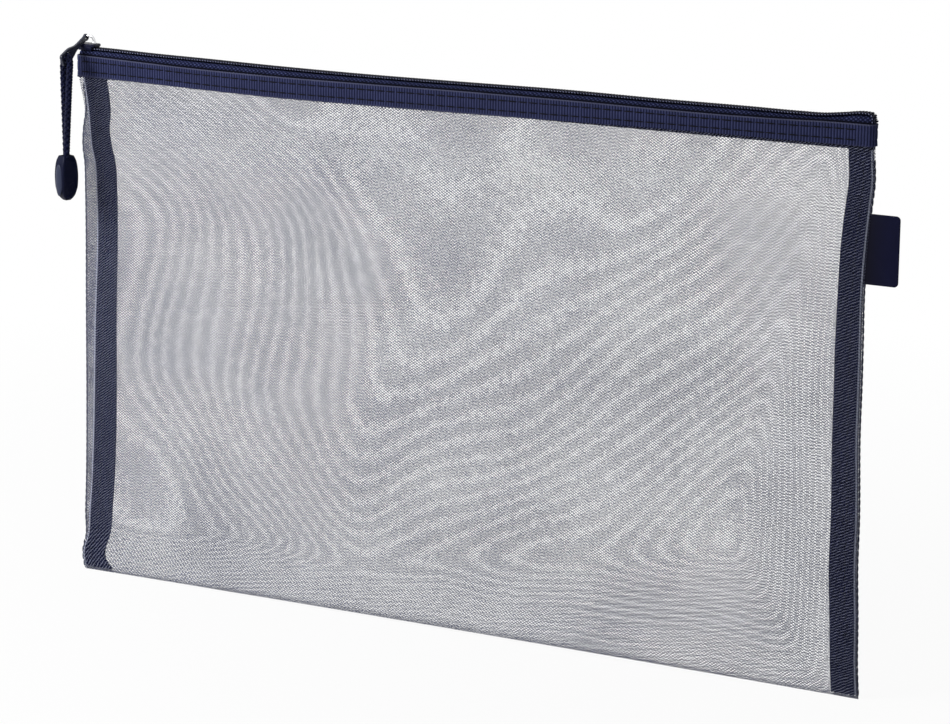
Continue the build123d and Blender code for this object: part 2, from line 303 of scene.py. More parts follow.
def spread(tree, value, start, end, low=0.0, high=1.0):
    """A value that runs from a start to an end, spread over another range."""
    limits = {"Value": value, "From Min": start, "From Max": end, "To Min": low, "To Max": high}
    return add_node(tree, "ShaderNodeMapRange", limits).outputs["Result"]


def mottle(tree, place, scale, detail, roughness=0.5):
    """The outputs of one Noise node."""
    settings = {"Vector": place, "Scale": scale, "Detail": detail, "Roughness": roughness}
    return add_node(tree, "ShaderNodeTexNoise", settings).outputs


def swing(tree, noise, amount):
    """A noise from 0 to 1 as a swing about zero."""
    return calculate(tree, "MULTIPLY", calculate(tree, "SUBTRACT", noise, 0.5), amount)


def new_group(name, inputs, outputs):
    """A shader node group with named sockets; gives its tree, input sockets and output node."""
    tree = bpy.data.node_groups.new(name, "ShaderNodeTree")
    for way, sockets in (("INPUT", inputs), ("OUTPUT", outputs)):
        for socket, kind in sockets.items():
            tree.interface.new_socket(socket, in_out=way, socket_type="NodeSocket" + kind)
    return tree, tree.nodes.new("NodeGroupInput").outputs, tree.nodes.new("NodeGroupOutput")


def use_group(tree, group, inputs):
    """Places a node group in a material, with a value for each of its inputs."""
    return add_node(tree, "ShaderNodeGroup", inputs, node_tree=group).outputs


def tone_drift_group():
    """A colour that drifts lighter and darker in soft patches."""
    tree, given, result = new_group(
        "tone_drift",
        {"Place": "Vector", "Colour": "Color", "Patches": "Float", "Amount": "Float"},
        {"Colour": "Color"},
    )
    drift = swing(tree, mottle(tree, given["Place"], given["Patches"], 3.0, 0.55)[0], given["Amount"])
    value = calculate(tree, "MULTIPLY_ADD", drift, 4.0)
    value.node.inputs[2].default_value = 1.0
    varied = add_node(tree, "ShaderNodeHueSaturation", {"Color": given["Colour"], "Value": value})
    tree.links.new(varied.outputs[0], result.inputs["Colour"])
    return tree


def yarn_lines_group():
    """Rounded yarns side by side, straight or slanted both ways from a centre line."""
    tree, given, result = new_group(
        "yarn_lines",
        {"Cloth": "Vector", "Centre": "Float", "Across Rate": "Float", "Along Rate": "Float"},
        {"Crown": "Float"},
    )
    place = add_node(tree, "ShaderNodeSeparateXYZ", {0: given["Cloth"]}).outputs
    off_centre = calculate(tree, "ABSOLUTE", calculate(tree, "SUBTRACT", place["X"], given["Centre"]))
    across = calculate(tree, "MULTIPLY", off_centre, given["Across Rate"])
    along = calculate(tree, "MULTIPLY", place["Y"], given["Along Rate"])
    turns = calculate(tree, "MULTIPLY", calculate(tree, "ADD", across, along), 2 * math.pi)
    wave = calculate(tree, "ADD", calculate(tree, "COSINE", turns), 1.0)
    tree.links.new(calculate(tree, "MULTIPLY", wave, 0.5), result.inputs["Crown"])
    return tree


def diamond_net_group():
    """The threads of a diamond net: two slanted families of thin round threads."""
    sizes = [
        "Diamond Width", "Diamond Height", "Thread Share", "Patch Swell", "Grain Swell",
        "Row Height", "Row Slant", "Row Swell", "Fold Height", "Fold Swell", "Wander",
    ]
    tree, given, result = new_group(
        "diamond_net",
        {"Cloth": "Vector", "Place": "Vector"} | dict.fromkeys(sizes, "Float"),
        dict.fromkeys(["Thread", "Crown", "Rising"], "Float"),
    )
    stray_scale, patch_scale, grain_scale = 450.0, 24.0, 420.0
    place = add_node(tree, "ShaderNodeSeparateXYZ", {0: given["Cloth"]}).outputs
    stray = mottle(tree, given["Place"], stray_scale, 1.0)["Color"]
    sway = add_node(tree, "ShaderNodeSeparateColor", {0: stray}).outputs
    astray = [swing(tree, sway[channel], given["Wander"]) for channel in ("Red", "Green")]
    across = calculate(tree, "ADD", calculate(tree, "DIVIDE", place["X"], given["Diamond Width"]), astray[0])
    along = calculate(tree, "ADD", calculate(tree, "DIVIDE", place["Y"], given["Diamond Height"]), astray[1])
    upward = calculate(tree, "DIVIDE", place["Y"], given["Row Height"])
    row = calculate(tree, "ADD", upward, calculate(tree, "DIVIDE", place["X"], given["Row Slant"]))
    wave = calculate(tree, "COSINE", calculate(tree, "MULTIPLY", row, 2 * math.pi))
    thickness = calculate(tree, "ADD", calculate(tree, "MULTIPLY", wave, given["Row Swell"]), 1.0)
    for scale, share in ((patch_scale, given["Patch Swell"]), (grain_scale, given["Grain Swell"])):
        uneven = swing(tree, mottle(tree, given["Place"], scale, 1.0)[0], 4.0)
        thickness = calculate(tree, "ADD", calculate(tree, "MULTIPLY", uneven, share), thickness)
    height = part_of(tree, given["Place"], "Z")
    low = spread(tree, height, given["Fold Height"], 0.0, high=given["Fold Swell"])
    thickness = calculate(tree, "ADD", low, thickness)
    half_thread = calculate(tree, "MULTIPLY", thickness, given["Thread Share"])
    crowns = []
    for operation in ("ADD", "SUBTRACT"):
        family = calculate(tree, "FRACT", calculate(tree, operation, across, along))
        off_thread = calculate(tree, "ABSOLUTE", calculate(tree, "SUBTRACT", family, 0.5))
        crowns.append(calculate(tree, "SUBTRACT", 1.0, calculate(tree, "DIVIDE", off_thread, half_thread)))
    crown = calculate(tree, "MAXIMUM", calculate(tree, "MAXIMUM", *crowns), 0.0)
    thread = add_node(tree, "ShaderNodeMath", {0: crown, 1: 2.0}, operation="MULTIPLY", use_clamp=True)
    tree.links.new(thread.outputs[0], result.inputs["Thread"])
    tree.links.new(crown, result.inputs["Crown"])
    tree.links.new(calculate(tree, "GREATER_THAN", *crowns), result.inputs["Rising"])
    return tree


tone_drift = tone_drift_group()
yarn_lines = yarn_lines_group()
diamond_net = diamond_net_group()


# Finishes

diamond_width = 1.54
diamond_height = 1.07
rib_step = 1.15


def screen(red, green, blue):
    """A colour given by its 0 to 255 screen levels, as the linear colour that shaders take."""
    shares = np.array([red, green, blue]) / 255
    linear = np.where(shares <= 0.04045, shares / 12.92, ((shares + 0.055) / 1.055) ** 2.4)
    return (*linear.tolist(), 1.0)


def new_finish(name, constants):
    """A material with constants on its shader's own sockets; gives it, its tree and its shader."""
    material = bpy.data.materials.new(name)
    material.use_nodes = True
    shader = material.node_tree.nodes["Principled BSDF"]
    for socket, value in constants.items():
        shader.inputs[socket].default_value = value
    return material, material.node_tree, shader


def object_place(tree):
    """Where a point is on the whole part."""
    return add_node(tree, "ShaderNodeTexCoord").outputs["Object"]


def cloth_place(tree):
    """Where a point is on the piece's own cloth map."""
    return add_node(tree, "ShaderNodeUVMap", uv_map="cloth").outputs["UV"]


def bump(tree, shader, height, depth):
    """Relief of the given depth in millimetres."""
    relief = add_node(tree, "ShaderNodeBump", {"Height": height, "Strength": 1.0, "Distance": depth * mm})
    tree.links.new(relief.outputs["Normal"], shader.inputs["Normal"])


def paint(tree, shader, colour, patches, amount, place=None):
    """Gives a shader its colour, with soft patches from the shared group."""
    values = {"Place": place or object_place(tree), "Colour": colour, "Patches": patches, "Amount": amount}
    tree.links.new(use_group(tree, tone_drift, values)["Colour"], shader.inputs["Base Color"])


def yarn_crown(tree, cloth, across=None, along=None, centre=0.0):
    """How high up a rounded yarn each place is, by the yarns' steps (millimetres) across and along."""
    rates = [1 / (step * mm) if step else 0.0 for step in (across, along)]
    return use_group(tree, yarn_lines, {
        "Cloth": cloth, "Centre": centre * mm, "Across Rate": rates[0], "Along Rate": rates[1],
    })["Crown"]


def two_tone(tree, share, dark, light):
    """A colour between two, by a share."""
    mix = add_node(tree, "ShaderNodeMixRGB", {"Fac": share, "Color1": dark, "Color2": light})
    return mix.outputs["Color"]


def between(tree, value, low, high):
    """How far a length is from one limit (0) to another (1), in millimetres."""
    return spread(tree, value, low * mm, high * mm)


def net_finish():
    """Pale grey threads in a diamond net, clear between them; the rising family is painted lighter and the
    other darker as a painted sheen.
    """
    material, tree, shader = new_finish("net_thread", {"Roughness": 0.6, "Specular IOR Level": 0.15})
    threads = use_group(tree, diamond_net, {
        "Cloth": cloth_place(tree), "Place": object_place(tree), "Diamond Width": diamond_width * mm,
        "Diamond Height": diamond_height * mm, "Thread Share": 0.09, "Patch Swell": 0.2, "Grain Swell": 0.16,
        "Row Height": 1.29 * mm, "Row Slant": 7.7 * mm, "Row Swell": 0.38,
        "Fold Height": 4.0 * mm, "Fold Swell": 0.5, "Wander": 0.6,
    })
    # Painted sheen: the rising threads are painted lighter and the other family darker, as the key light
    # catches one slant.
    colour = two_tone(tree, threads["Rising"], screen(72, 77, 100), screen(138, 142, 168))
    paint(tree, shader, colour, 40.0, 0.12)
    tree.links.new(threads["Thread"], shader.inputs["Alpha"])
    bump(tree, shader, threads["Crown"], 0.06)
    return material


def binding_finish():
    """Navy herringbone tape, its yarn crowns painted lighter and the hollows darker as painted highlight and
    shade, with a pale strip along its outer edge that is partly the net's fold and partly a painted
    highlight.
    """
    material, tree, shader = new_finish("binding_twill", {"Roughness": 0.8, "Specular IOR Level": 0.08})
    cloth = cloth_place(tree)
    crown = yarn_crown(tree, cloth, across=1.1, along=1.0, centre=5.1)
    # Painted shade and highlight: the hollows between yarns are painted darker and the yarn crowns lighter.
    colour = two_tone(tree, crown, screen(2, 4, 26), screen(14, 19, 58))
    # A pale strip painted along the outer edge: partly the net's fold seen edge-on, partly a painted
    # highlight.
    from_edge, pale_edge_highlight = part_of(tree, cloth, "X"), (0.45, 0.7)
    colour = two_tone(tree, between(tree, from_edge, *pale_edge_highlight), screen(200, 205, 225), colour)
    paint(tree, shader, colour, 90.0, 0.15)
    bump(tree, shader, crown, 0.12)
    return material


def ribbon_finish():
    """Navy ribbed ribbon: vertical ribs with finer yarns across them, painted darker in the grooves as
    painted shade and lighter on the rib tops and the upper selvedge as painted highlight.
    """
    material, tree, shader = new_finish("ribbon_ribs", {"Roughness": 0.75, "Specular IOR Level": 0.1})
    cloth = cloth_place(tree)
    ribs = yarn_crown(tree, cloth, across=rib_step)
    yarns = yarn_crown(tree, cloth, along=0.32)
    # Painted shade and highlight: the grooves between ribs are painted darker, the rib tops lighter.
    colour = two_tone(tree, ribs, screen(15, 19, 46), screen(57, 62, 99))
    down, upper_edge, lower_edge = part_of(tree, cloth, "Y"), (0.25, 0.6), (7.6, 8.0)
    # The upper selvedge is painted lighter, partly its own tone and partly a painted highlight from light
    # above; the lower selvedge keeps its own lighter tone.
    colour = two_tone(tree, between(tree, down, *upper_edge), screen(74, 77, 102), colour)
    colour = two_tone(tree, between(tree, down, *lower_edge), colour, screen(56, 59, 86))
    paint(tree, shader, colour, 140.0, 0.14)
    bump(tree, shader, yarns, 0.05)
    return material


def zip_tape_finish():
    """Dark navy knitted tape, its knit loops painted lighter on their crowns and darker between as painted
    highlight and shade, with a band of painted shade at the ribbon's upper edge.
    """
    material, tree, shader = new_finish("zip_tape_knit", {"Roughness": 0.85, "Specular IOR Level": 0.06})
    cloth = cloth_place(tree)
    loops = [yarn_crown(tree, cloth, across=1.8, along=way * 1.5) for way in (1, -1)]
    knit = calculate(tree, "MULTIPLY", *loops)
    # Painted shade and highlight: the knit's hollows are painted darker, its loop crowns lighter.
    colour = two_tone(tree, knit, screen(14, 18, 44), screen(76, 83, 126))
    # Painted shade: the tape is painted near black at the ribbon's upper edge, fading out just above it.
    down, shaded_foot = part_of(tree, cloth, "Y"), (0.4, 1.2)
    colour = two_tone(tree, between(tree, down, *shaded_foot), screen(10, 11, 24), colour)
    paint(tree, shader, colour, 260.0, 0.3)
    bump(tree, shader, knit, 0.2)
    return material


def smooth_finish(name, colour, roughness, patches, amount, grain, depth, specular=0.5, metallic=0.0):
    """A smooth finish with soft patches, uneven gloss and a fine grain of a depth in millimetres."""
    gloss_swing = 0.08
    material, tree, shader = new_finish(name, {"Specular IOR Level": specular, "Metallic": metallic})
    place = object_place(tree)
    paint(tree, shader, screen(*colour), patches, amount, place)
    noise = mottle(tree, place, grain, 3.0)[0]
    gloss = spread(tree, noise, 0.0, 1.0, roughness - gloss_swing, roughness + gloss_swing)
    tree.links.new(gloss, shader.inputs["Roughness"])
    bump(tree, shader, noise, depth)
    return material


def label_finish():
    """Soft navy rubber, with painted shade darker towards the seam, where the seam's bulge shades it."""
    material = smooth_finish("label_rubber", (13, 15, 43), 0.62, 120.0, 0.15, 2600.0, 0.03, 0.08)
    tree = material.node_tree
    shader = tree.nodes["Principled BSDF"]
    patchy = shader.inputs["Base Color"].links[0].from_socket
    # Painted shade: the label is painted darker towards the seam, up to 12 mm from its outer end, and plain
    # from 4 mm.
    shade_from, shade_to = label_high.x - 12, label_high.x - 4
    outward = between(tree, part_of(tree, object_place(tree), "X"), shade_from, shade_to)
    tree.links.new(two_tone(tree, outward, screen(9, 9, 24), patchy), shader.inputs["Base Color"])
    return material


def cord_finish():
    """Navy braid: each strand is twisted from fine filaments, painted lighter on their crowns as painted
    highlight and darker between as painted shade.
    """
    material, tree, shader = new_finish("cord_braid", {"Roughness": 0.45, "Specular IOR Level": 0.1})
    cloth = cloth_place(tree)
    filaments = yarn_crown(tree, cloth, across=0.3, along=0.5)
    # Painted highlight and shade: filament crowns are painted lighter, the hollows darker.
    colour = two_tone(tree, filaments, screen(2, 4, 22), screen(18, 24, 62))
    paint(tree, shader, colour, 300.0, 0.25)
    bump(tree, shader, filaments, 0.06)
    return material


net_material = net_finish()
binding_material = binding_finish()
ribbon_material = ribbon_finish()
tape_material = zip_tape_finish()
label_material = label_finish()
cord_material = cord_finish()
# Screen colour, roughness, scale and amount of the patches, scale and depth of the grain, specular level
coil_material = smooth_finish("coil_nylon", (9, 12, 34), 0.5, 400.0, 0.3, 900.0, 0.02, 0.12)
enamel_material = smooth_finish("slider_enamel", (14, 17, 44), 0.38, 300.0, 0.25, 700.0, 0.02, 0.12)
tab_material = smooth_finish("tab_enamel", (44, 47, 62), 0.34, 260.0, 0.2, 500.0, 0.02, 0.25)
nickel_material = smooth_finish(
    "bright_nickel", (214, 214, 216), 0.2, 500.0, 0.08, 1500.0, 0.008, metallic=1.0
)
grip_material = smooth_finish("grip_moulding", (8, 13, 38), 0.42, 200.0, 0.12, 1800.0, 0.02, 0.09)
# The grip's pad is a real moulding; its lighter colour is painted light on the grip's lit side.
pad_material = smooth_finish("grip_pad", (38, 44, 66), 0.36, 200.0, 0.1, 1800.0, 0.02, 0.2)
thread_material = smooth_finish("sewing_thread", (7, 8, 20), 0.6, 500.0, 0.3, 3000.0, 0.03, 0.1)
# Pale thread on the coil: real sewing, its pale colour a painted glint on the coil's turns.
coil_thread_glint_material = smooth_finish("coil_thread_glints", (140, 144, 176), 0.6, 500.0, 0.4, 3000.0, 0.03, 0.2)
seam_material = smooth_finish("seam_thread", (32, 34, 52), 0.6, 500.0, 0.3, 3000.0, 0.03, 0.1)


# Rows of small shapes, placed by Geometry Nodes


def guide_points(name, places, directions):
    """Points (millimetres) that carry the turn of what is set on them: its length along a direction."""
    mesh = bpy.data.meshes.new(name)
    mesh.from_pydata((np.array(places) * mm).tolist(), [], [])
    turns = [Vector(direction).to_track_quat("Z", "Y").to_euler() for direction in directions]
    attribute = mesh.attributes.new("turn", "FLOAT_VECTOR", "POINT")
    attribute.data.foreach_set("vector", np.array(turns, np.float32).ravel())
    return new_piece(name, mesh)


def row_tree(name, sizes, make_shape):
    """A tree that sets one shape on every guide point, with named sizes."""
    tree = bpy.data.node_groups.new(name, "GeometryNodeTree")
    tree.interface.new_socket("Guide", in_out="INPUT", socket_type="NodeSocketGeometry")
    for size in sizes:
        tree.interface.new_socket(size, in_out="INPUT", socket_type="NodeSocketFloat")
    tree.interface.new_socket("Material", in_out="INPUT", socket_type="NodeSocketMaterial")
    tree.interface.new_socket("Row", in_out="OUTPUT", socket_type="NodeSocketGeometry")
    given = tree.nodes.new("NodeGroupInput").outputs
    result = tree.nodes.new("NodeGroupOutput")
    turn = add_node(tree, "GeometryNodeInputNamedAttribute", {"Name": "turn"}, data_type="FLOAT_VECTOR")
    rotation = add_node(tree, "FunctionNodeEulerToRotation", {0: turn.outputs["Attribute"]})
    placed = add_node(tree, "GeometryNodeInstanceOnPoints", {
        "Points": given["Guide"], "Instance": make_shape(tree, given), "Rotation": rotation.outputs[0],
    })
    whole = add_node(tree, "GeometryNodeRealizeInstances", {0: placed.outputs["Instances"]})
    smooth = add_node(tree, "GeometryNodeSetShadeSmooth", {"Geometry": whole.outputs[0]})
    finished = add_node(tree, "GeometryNodeSetMaterial", {
        "Geometry": smooth.outputs[0], "Material": given["Material"],
    })
    tree.links.new(finished.outputs[0], result.inputs["Row"])
    return tree


def stitch_shape(tree, given):
    """A flattened round stitch, its length along Z."""
    ball = add_node(tree, "GeometryNodeMeshUVSphere", {"Segments": 8, "Rings": 5, "Radius": 0.5})
    sides = {"X": given["Width"], "Y": given["Width"], "Z": given["Length"]}
    size = add_node(tree, "ShaderNodeCombineXYZ", sides)
    return add_node(tree, "GeometryNodeTransform", {
        "Geometry": ball.outputs["Mesh"], "Scale": size.outputs[0],
    }).outputs[0]


def coil_turn_shape(tree, given):
    """One turn of the coil: a flat leaning loop of round wire."""
    circle = add_node(tree, "GeometryNodeCurvePrimitiveCircle", {"Resolution": 12, "Radius": 0.5})
    size = add_node(tree, "ShaderNodeCombineXYZ", {"X": given["Width"], "Y": given["Height"], "Z": 1.0})
    loop = add_node(tree, "GeometryNodeTransform", {
        "Geometry": circle.outputs["Curve"], "Scale": size.outputs[0],
    })
    half_wire = calculate(tree, "MULTIPLY", given["Wire"], 0.5)
    wire = add_node(tree, "GeometryNodeCurvePrimitiveCircle", {"Resolution": 6, "Radius": half_wire})
    turn = add_node(tree, "GeometryNodeCurveToMesh", {
        "Curve": loop.outputs[0], "Profile Curve": wire.outputs["Curve"],
    })
    lean = add_node(tree, "ShaderNodeCombineXYZ", {"X": given["Lean"], "Y": given["Skew"], "Z": 0.0})
    return add_node(tree, "GeometryNodeTransform", {
        "Geometry": turn.outputs[0], "Rotation": lean.outputs[0],
    }).outputs[0]


stitch_row = row_tree("stitch_row", ["Width", "Length"], stitch_shape)
coil_turns = row_tree("coil_turns", ["Width", "Height", "Wire", "Lean", "Skew"], coil_turn_shape)


def set_row(guide, tree, material, sizes):
    """Sets a row of shapes on guide points and turns it into a plain mesh."""
    row = guide.modifiers.new("row", "NODES")
    row.node_group = tree
    for socket in tree.interface.items_tree:
        if socket.in_out == "INPUT" and socket.name in sizes:
            row[socket.identifier] = sizes[socket.name]
        if socket.in_out == "INPUT" and socket.name == "Material":
            row[socket.identifier] = material
    return work_in(guide)


# Camera


def photo_camera():
    """The camera at the photograph's viewing angle."""
    turn, rise, tilt = (math.radians(angle) for angle in (27.529, 13.242, 0.657))
    distance = 1.3699
    aim = Vector((0.00929, 0, 0.10923))
    back = Vector((math.sin(turn) * math.cos(rise), -math.cos(turn) * math.cos(rise), math.sin(rise)))
    level = Vector((math.cos(turn), math.sin(turn), 0))
    upright = back.cross(level)
    across = math.cos(tilt) * level + math.sin(tilt) * upright
    upward = math.cos(tilt) * upright - math.sin(tilt) * level
    data = bpy.data.cameras.new("photo_camera")
    data.sensor_fit = "HORIZONTAL"
    data.sensor_width = 36
    data.lens = 135.06
    camera = new_piece("photo_camera", data)
    facing = Matrix((across, upward, back)).transposed().to_4x4()
    camera.matrix_world = Matrix.Translation(aim + back * distance) @ facing
    bpy.context.scene.camera = camera


photo_camera()


# Pull cord: one loop through the tab's slot, both ends in the grip

cord_route = [
    (-170.1, -11.29, 171.391), (-170.9, -11.5, 205.591), (-170.8, -11.649, 215.411),
    (-166.7, -12.489, 215.411), (-167.0, -13.4, 205.591), (-168.8, -13.77, 171.391),
]


def cord_line():
    """Points of the cord's smooth line, in millimetres."""
    curve = bpy.data.curves.new("cord_route", "CURVE")
    curve.dimensions = "3D"
    spline = curve.splines.new("NURBS")
    spline.points.add(len(cord_route) - 1)
    for point, place in zip(spline.points, cord_route):
        point.co = (*(Vector(place) * mm), 1)
    spline.order_u = 3
    spline.use_endpoint_u = True
    spline.resolution_u = 60
    carrier = new_piece("cord_route", curve)
    line = bpy.data.meshes.new_from_object(carrier)
    points = np.array([vertex.co for vertex in line.vertices]) / mm
    bpy.data.objects.remove(carrier)
    return points


def carried_frames(points):
    """Two directions square to a line at each of its points, carried along without twisting."""
    ahead = headings(points)
    sideways = [np.cross(ahead[0], [0.0, 1.0, 0.0])]
    for direction in ahead:
        last = sideways[-1]
        square = last - direction * (last @ direction)
        sideways.append(square / np.linalg.norm(square))
    sideways = np.array(sideways[1:])
    return sideways, np.cross(ahead, sideways)


def tube_rings(points, radius, sides):
    """Rings of points round a line, and a map of the way round and the way along."""
    sideways, upward = carried_frames(points)
    angles = np.linspace(0, 2 * math.pi, sides + 1)
    wide, high = np.cos(angles)[None, :, None], np.sin(angles)[None, :, None]
    spokes = wide * sideways[:, None] + high * upward[:, None]
    along = steps_along(points)
    cloth = np.stack(np.meshgrid(angles * radius, along), axis=-1)
    return points[:, None] + radius * spokes, cloth


def tube_piece(name, points, radius, sides, material):
    """A closed tube along a line."""
    rings, cloth = tube_rings(points, radius, sides)
    piece = grid_piece(name, rings, cloth)
    mend(piece.data, fill=True)
    piece.data.materials.append(material)
    return piece


def braided_cord(line):
    """A round braid of strands that pass over and under each other, on a plain core."""
    strands_each_way = 4
    lay = 9.6
    strand_radius = 0.48
    middle_radius = 0.78
    weave = 0.2
    core_radius = 0.7
    core_steps = 120
    strand_step = 0.25
    length = steps_along(line)[-1]
    points, along = evenly(line, int(length / strand_step))
    sideways, upward = carried_frames(points)
    turned = 2 * math.pi * along / lay
    over = weave * np.cos(strands_each_way * turned)
    pieces = [tube_piece("cord_core", evenly(line, core_steps)[0], core_radius, 10, cord_material)]
    for way in (1, -1):
        for strand in range(strands_each_way):
            angle = way * turned + 2 * math.pi * strand / strands_each_way
            out = middle_radius + way * over
            spoke = np.cos(angle)[:, None] * sideways + np.sin(angle)[:, None] * upward
            strand_line = points + out[:, None] * spoke
            pieces.append(tube_piece("cord_strand", strand_line, strand_radius, 7, cord_material))
    return joined("braided_pull_cord", pieces), length


pull_line = cord_line()
pull_cord, cord_length = braided_cord(pull_line)


# Net sheet: front wall, bottom fold and rear wall in one, with its seam allowances turned inside

# How far in from the seams the bindings' two edges are, by height
left_binding_outer = eased([
    (0, 0.6), (10, 0.7), (22, 2.0), (31, 2.5), (51, 3.2), (100, 4.2), (154, 5.6), (176, 4.6), (184, 3.4),
    (192, 1.4), (205, 0.9),
])
left_binding_inner = eased([
    (0, 14.5), (4, 11.6), (10, 10.5), (21, 12.4), (32, 13.1), (54, 13.9), (109, 14.3), (154, 14.9),
    (164, 14.8), (175, 14.2), (186, 12.0), (205, 11.4),
])
right_binding_outer = eased([(0, 0.6), (60, 0.8), (150, 0.9), (186, 0.6), (205, 0.7)])
right_binding_inner = eased([
    (0, 10.6), (9, 10.7), (31, 11.1), (77, 11.0), (100, 10.7), (134, 10.7), (150, 10.2), (176, 10.2),
    (190, 9.9), (205, 9.9),
])


def soft_most(values):
    """The greatest of several values, with a soft passage from one to the next."""
    return np.logaddexp.reduce(values)


def band_count(x, height):
    """How many diamonds the front threads run ahead of the rear ones, which draws the net's watered bands.

    None where the walls touch, above the middle; more towards the rim, then fewer again at the edges.
    """
    most = 19
    # Millimetres from one band to the next: on the left, lower down, at the right end and over the fold
    left_step, low_step, end_step = 6.3, 8.5, 2.5
    fold_step = np.interp(x, [-120, 0], [1.4, 3.3])
    # Where the bands turn: a wavering line near the middle, drawn left above it and right below it
    bend = -30 - 45 * np.clip((height - 150) / 45, 0, 1.3) ** 1.7 + 4 * np.sin(height / 17)
    bend = bend + 45 * np.clip((90 - height) / 70, 0, 1.3) ** 1.5
    # Bands lie side by side left of that line, and one under another below a slanting, sagging one
    leftward = (bend - x) / left_step
    downward = (105 - height + 0.55 * (x + 27) + 0.003 * np.maximum(x - 40, 0) ** 2) / low_step
    inner = soft_most([leftward, downward, 0 * x])
    fewest = -soft_most([-inner, -(height + 8) / fold_step, -(164 - x) / end_step, 0 * x - most])
    waves = 0.35 * np.sin(x / 23 + height / 26) + 0.3 * np.sin(height / 15 - x / 37)
    return fewest + waves + 0.2 * np.sin(x / 9 - height / 17)


def net_sheet():
    """The net as one folded sheet, whose cloth map lays the front threads against the rear ones."""
    fold_rise = 3.0
    arch, arch_fade = 0.7, 25
    # Seen from here, the threads of the two walls lie against each other as band_count says
    lay_from = (625.6, -1182.5, 423.0)
    thickness = 0.16
    allowance_y, allowance_lift = 0.2, 0.2
    raw_edge_gap = 0.8
    wall_rows, fold_rows, columns = 72, 11, 131
    wall_heights = np.linspace(net_top, fold_rise, wall_rows)
    fold_angles = np.linspace(0, math.pi, fold_rows)[1:-1]
    heights = np.concatenate([wall_heights, fold_rise * (1 - np.sin(fold_angles)), wall_heights[::-1]])
    facing = np.concatenate([-np.ones(wall_rows), -np.cos(fold_angles), np.ones(wall_rows)])
    shares = (1 - np.cos(np.linspace(0, math.pi, columns))) / 2
    inside = np.array([1.0, 0.75, 0.5, 0.25, 0.1, 0.03])
    rows = []
    for height, side in zip(heights, facing):
        left, right = side_edges(height)
        x = left + (right - left) * shares
        y = side * wall_depth(x, max(height, fold_rise))
        left_reach = left_binding_inner(height) - raw_edge_gap
        right_reach = right_binding_inner(height) - raw_edge_gap
        x = np.concatenate([left + left_reach * inside, x, right - right_reach * inside[::-1]])
        y = np.concatenate([side * allowance_y + 0 * inside, y, side * allowance_y + 0 * inside])
        bow = np.clip(1 - (x / half_width) ** 2, 0, 1)
        tuck = np.concatenate([allowance_lift + 0 * inside, 0 * shares, allowance_lift + 0 * inside])
        rows.append(np.stack([x, y, height + tuck + arch * bow * math.exp(-height / arch_fade)], axis=1))
    points = np.array(rows)
    middle = points.shape[1] // 2
    across = np.array([steps_along(row) for row in points])
    across -= across[:, middle:middle + 1]
    along = np.repeat(steps_along(points[:, middle])[:, None], points.shape[1], axis=1)
    lead = diamond_height * band_count(points[..., 0], points[..., 2]) / 2
    slant = (np.array(lay_from) - points) / -lay_from[1]
    across = across + slant[..., 0] * points[..., 1]
    along = along + lead + slant[..., 2] * np.abs(points[..., 1])
    cloth = np.stack([across, along], axis=-1)
    return cloth_piece("net_sheet", points, cloth, True, thickness, net_material)


net = net_sheet()


# Side bindings: tapes folded round the seam allowances


def binding_tape(name, edge_side, outer, inner):
    """A tape folded round the raw edges of a side's seam allowance (edge_side -1 left, 1 right)."""
    fold_y = 0.36
    thickness = 0.26
    foot, head, tape_rows = 1.5, mouth_top - 4, 110
    shares = np.linspace(0, 1, 14)
    turn = np.linspace(-math.pi / 2, math.pi / 2, 7)[1:-1]
    rows = []
    for height in np.linspace(foot, head, tape_rows):
        edge = side_edge(edge_side, height)
        leg = outer(height) + (inner(height) - fold_y - outer(height)) * shares
        bend = inner(height) - fold_y + fold_y * np.cos(turn)
        away = np.concatenate([leg, bend, leg[::-1]])
        y = np.concatenate([0 * leg - fold_y, fold_y * np.sin(turn), 0 * leg + fold_y])
        rows.append(np.stack([edge - edge_side * away, y, height + 0 * y], axis=1))
    points = np.array(rows)
    across = np.array([steps_along(row) for row in points])
    cloth = np.stack([across, points[..., 2]], axis=-1)
    return cloth_piece(name, points, cloth, edge_side > 0, -thickness, binding_material)


left_binding = binding_tape("left_binding_tape", -1, left_binding_outer, left_binding_inner)
right_binding = binding_tape("right_binding_tape", 1, right_binding_outer, right_binding_inner)


def side_stitches(name, edge_side, away, depths, step, material, sizes):
    """Rows of stitches up a side, at a distance from the seam and each at its own depth."""
    first = 2.5
    places = []
    for depth in depths:
        for height in np.arange(first, tape_foot, step):
            places.append((side_edge(edge_side, height) - edge_side * away(height), depth, height))
    guide = guide_points(name, places, [(0, 0, 1)] * len(places))
    return set_row(guide, stitch_row, material, sizes)


def binding_stitches(name, edge_side, outer, inner):
    """Stitches on both faces of a binding, rather nearer its outer edge."""
    def middle(height):
        return 0.6 * outer(height) + 0.4 * inner(height)

    sizes = {"Width": 0.4 * mm, "Length": 2.7 * mm}
    return side_stitches(name, edge_side, middle, (-0.72, 0.72), 3.1, thread_material, sizes)


def seam_stitches(name, edge_side):
    """Overlapping stitches along a seam."""
    def edge_line(height):
        return 0.1

    sizes = {"Width": 0.8 * mm, "Length": 3.1 * mm}
    return side_stitches(name, edge_side, edge_line, (0,), 2.8, seam_material, sizes)


left_stitches = binding_stitches("left_binding_stitches", -1, left_binding_outer, left_binding_inner)
right_stitches = binding_stitches("right_binding_stitches", 1, right_binding_outer, right_binding_inner)
left_seam = seam_stitches("left_seam_stitches", -1)
right_seam = seam_stitches("right_seam_stitches", 1)


# Mouth: ribbons outside, zip tapes inside


